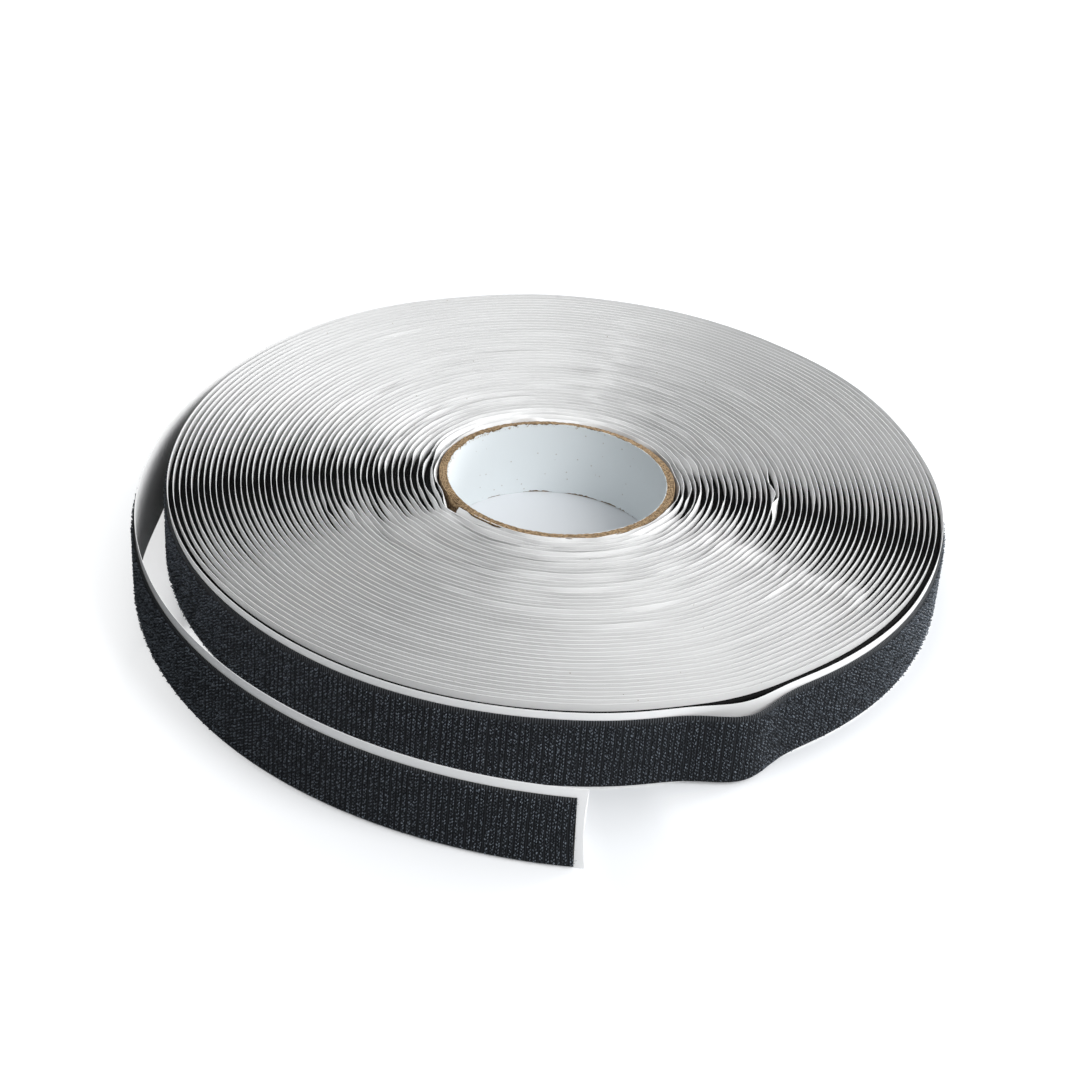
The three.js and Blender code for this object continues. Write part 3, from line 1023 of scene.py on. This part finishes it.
def make_cut_yarns():
    """Short yarn ends that stand out of the cut end of the tape."""
    dice = np.random.default_rng(YARN_SEED)
    turns = np.full(YARN_COUNT, TAPE_END)
    heights = dice.uniform(TAPE_LOW, TAPE_HIGH, YARN_COUNT) - tape_drop(turns)
    places = strip_point(turns, dice.uniform(GROUND_NEAR, GROUND_FAR, YARN_COUNT), heights)
    facings = strip_along(turns) + dice.normal(0, YARN_SPLAY, (YARN_COUNT, 3))
    sideways = dice.normal(0, 1, (YARN_COUNT, 3))
    yarns = set_wires("cut_yarn_ends", YARN_GROUP, places, facings, sideways, YARN_WIRES)
    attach(yarns, f"tail_{TAIL_PIECES}")


# Camera, from the axis at floor level, with angles in radians and its depth of view in metres
CAMERA_DISTANCE = 940
CAMERA_ELEVATION = 0.5439
CAMERA_PITCH = 0.5419
CAMERA_YAW = 0.0051
CAMERA_ROLL = 0.0872
FOCAL_PIXELS = 2663.4
FRAME_PIXELS = 1080
SENSOR_WIDTH = 36
VIEW_DEPTH = 20
# Light of the room: its colour and level, how much brighter it is on the right and dimmer low on the left, and
# how fast that dimness fades with height
ROOM_COLOUR = "#f5f7f8"
ROOM_LEVEL = 0.63
ROOM_SLOPE = 0.22
LEFT_DIMNESS = 0.55
DIMNESS_FADE = 1.6
# Floor, and the metres to the left between which it comes to throw less light back at the roll, as painted
# shade of the roll's shadow there
FLOOR_HALF = 3000
PLAIN_WHITE = "#ffffff"
FLOOR_COLOUR = "#dfe1e4"
PAINTED_SHADE_FLOOR_COLOUR = "#6d6f71"
FLOOR_DIM_FROM = 0.122
FLOOR_DIM_TO = 0.145
# How much plain white the floor adds to the eye, as painted light that lightens the roll's shadow near it, by
# metres from the roll's axis, by metres to the left, and by shares of a turn round the axis from the left
# towards the camera
FLOOR_WHITE = [(0, 0), (0.12, 0), (0.14, 0.12), (0.15, 0.28), (0.165, 0.34), (0.19, 0.34), (0.22, 0.5),
               (0.3, 0.8), (1, 1)]
LEFT_WHITE = [(0, 0), (0.098, 0), (0.108, 0.15), (0.118, 0.38), (0.13, 0.62), (0.142, 0.68), (0.17, 0.74),
              (0.3, 0.85), (1, 1)]
TAIL_WHITE = [(0, 0), (0.078, 0), (0.095, 0.61), (0.125, 0.57), (0.153, 0.49), (0.18, 0.41), (0.21, 0.36),
              (0.25, 0.32), (0.262, 0), (1, 0)]
# Share of the white that is left in the crook past the tail's end, by the same shares of a turn, where less
# painted light leaves the shadow darker
CROOK_SHADE = [(0, 1), (0.26, 1), (0.275, 0.45), (0.292, 0.7), (0.312, 1), (1, 1)]


def make_camera():
    data = bpy.data.cameras.new("camera")
    data.sensor_width = SENSOR_WIDTH
    data.lens = FOCAL_PIXELS / FRAME_PIXELS * SENSOR_WIDTH
    data.clip_end = VIEW_DEPTH
    camera = bpy.data.objects.new("camera", data)
    bpy.context.collection.objects.link(camera)
    back = CAMERA_DISTANCE * math.cos(CAMERA_ELEVATION)
    place = Vector((AXIS_X, AXIS_Y - back, CAMERA_DISTANCE * math.sin(CAMERA_ELEVATION)))
    turn = Matrix.Rotation(CAMERA_YAW, 4, "Z") @ Matrix.Rotation(math.pi / 2 - CAMERA_PITCH, 4, "X")
    camera.matrix_world = Matrix.Translation(place * MM) @ turn @ Matrix.Rotation(CAMERA_ROLL, 4, "Z")
    bpy.context.scene.camera = camera


def floor_white(tree, place, left):
    """How much plain white the floor adds to the eye at a place on it, so many metres to the left: painted
    light over the roll's shadow.
    """
    axis = (AXIS_X * MM, AXIS_Y * MM, 0)
    away = add_node(tree, "ShaderNodeVectorMath", {0: place}, {1: axis}, operation="DISTANCE")
    to_axis = add_node(tree, "ShaderNodeVectorMath", {1: place}, {0: axis}, operation="SUBTRACT")
    sides = add_node(tree, "ShaderNodeSeparateXYZ", {0: to_axis.outputs["Vector"]})
    angle = add_node(tree, "ShaderNodeMath", {0: sides.outputs["Y"], 1: sides.outputs["X"]},
                     operation="ARCTAN2")
    turned = add_node(tree, "ShaderNodeMath", {0: angle.outputs[0]}, {1: FULL_TURN}, operation="DIVIDE",
                      use_clamp=True)
    outside = add_node(tree, "ShaderNodeFloatCurve", {"Value": away.outputs["Value"]}, points=FLOOR_WHITE)
    in_crook = add_node(tree, "ShaderNodeFloatCurve", {"Value": turned.outputs[0]}, points=CROOK_SHADE)
    by_tail = add_node(tree, "ShaderNodeFloatCurve", {"Value": turned.outputs[0]}, points=TAIL_WHITE)
    on_left = add_node(tree, "ShaderNodeFloatCurve", {"Value": left}, points=LEFT_WHITE)
    shaded = add_node(tree, "ShaderNodeMath", {0: outside.outputs["Value"], 1: in_crook.outputs["Value"]},
                      operation="MULTIPLY")
    in_front = add_node(tree, "ShaderNodeMath", {0: shaded.outputs[0], 1: by_tail.outputs["Value"]},
                        operation="MAXIMUM")
    white = add_node(tree, "ShaderNodeMath", {0: in_front.outputs[0], 1: on_left.outputs["Value"]},
                     operation="MAXIMUM")
    return white.outputs[0]


def make_floor():
    """White sheet with the roll's soft shadow, lightened by painted light shaped round the roll and tail, that
    turns plain white to the eye further out.
    """
    half = FLOOR_HALF
    corners = [(-half, -half, 0), (half, -half, 0), (half, half, 0), (-half, half, 0)]
    material, tree, shader = new_material("white floor", FLOOR_COLOUR, roughness=0.9, ior=1.3)
    shader.inputs["Emission Color"].default_value = linear(PLAIN_WHITE)
    place = add_node(tree, "ShaderNodeTexCoord").outputs["Object"]
    parts = add_node(tree, "ShaderNodeSeparateXYZ", {0: place})
    left = add_node(tree, "ShaderNodeMath", {0: parts.outputs["X"]}, {1: -1}, operation="MULTIPLY")
    camera_ray = add_node(tree, "ShaderNodeLightPath").outputs["Is Camera Ray"]
    # Painted shade: to the light thrown back at the roll, the floor is darker on the left, where the roll's
    # shadow falls
    thrown = add_node(tree, "ShaderNodeValToRGB", {"Fac": left.outputs[0]}, stops=[
        (FLOOR_DIM_FROM, FLOOR_COLOUR), (FLOOR_DIM_TO, PAINTED_SHADE_FLOOR_COLOUR)])
    sheet = add_node(tree, "ShaderNodeMix", {"Factor": camera_ray, 6: thrown.outputs["Color"]},
                     {7: linear(FLOOR_COLOUR)}, data_type="RGBA")
    tree.links.new(sheet.outputs[2], shader.inputs["Base Color"])
    seen = add_node(tree, "ShaderNodeMath", {0: camera_ray, 1: floor_white(tree, place, left.outputs[0])},
                    operation="MULTIPLY")
    tree.links.new(seen.outputs[0], shader.inputs["Emission Strength"])
    floor = mesh_object("floor", corners, [(0, 1, 2, 3)], material)


def area_light(name, azimuth, elevation, distance, size, level):
    """A disk lamp aimed at the roll from an azimuth right of the camera, sized in metres.

    The level is the brightness of a white face that is turned to the lamp.
    """
    data = bpy.data.lights.new(name, "AREA")
    data.shape = "DISK"
    data.size = size
    data.energy = level * (math.pi * distance) ** 2
    light = bpy.data.objects.new(name, data)
    bpy.context.collection.objects.link(light)
    flat = distance * math.cos(elevation)
    place = Vector((flat * math.sin(azimuth), -flat * math.cos(azimuth), distance * math.sin(elevation)))
    light.location = place
    light.rotation_euler = (-place).to_track_quat("-Z", "Y").to_euler()


def make_light():
    """Soft light from the right in a pale room, dimmer on the left, that looks white to the camera."""
    world = bpy.data.worlds.new("studio")
    world.use_nodes = True
    tree = world.node_tree
    background = tree.nodes["Background"]
    place = add_node(tree, "ShaderNodeTexCoord")
    parts = add_node(tree, "ShaderNodeSeparateXYZ", {0: place.outputs["Generated"]})
    level = add_node(tree, "ShaderNodeMath", {0: parts.outputs["X"]}, {1: ROOM_SLOPE, 2: ROOM_LEVEL},
                     operation="MULTIPLY_ADD")
    leftward = add_node(tree, "ShaderNodeMath", {0: parts.outputs["X"]}, {1: -1}, operation="MULTIPLY",
                        use_clamp=True)
    low = add_node(tree, "ShaderNodeMath", {0: parts.outputs["Z"]}, {1: -DIMNESS_FADE, 2: 1},
                   operation="MULTIPLY_ADD", use_clamp=True)
    low_left = add_node(tree, "ShaderNodeMath", {0: leftward.outputs[0], 1: low.outputs[0]},
                        operation="MULTIPLY")
    dimmed = add_node(tree, "ShaderNodeMath", {0: low_left.outputs[0], 2: level.outputs[0]},
                      {1: -LEFT_DIMNESS}, operation="MULTIPLY_ADD", use_clamp=True)
    camera_ray = add_node(tree, "ShaderNodeLightPath").outputs["Is Camera Ray"]
    strength = add_node(tree, "ShaderNodeMix", {"Factor": camera_ray, "A": dimmed.outputs[0]}, {"B": 1})
    tint = add_node(tree, "ShaderNodeMix", {"Factor": camera_ray},
                    {6: linear(ROOM_COLOUR), 7: linear(PLAIN_WHITE)}, data_type="RGBA")
    tree.links.new(tint.outputs[2], background.inputs["Color"])
    tree.links.new(strength.outputs["Result"], background.inputs["Strength"])
    bpy.context.scene.world = world
    area_light("right", azimuth=57 * DEGREE, elevation=40 * DEGREE, distance=1.6, size=1, level=0.65)
    area_light("far right", azimuth=135 * DEGREE, elevation=15 * DEGREE, distance=1.6, size=1.2, level=1.1)


make_tube()
make_winding()
make_tail()
make_camera()
make_floor()
make_light()
bpy.context.scene.view_settings.view_transform = "Standard"
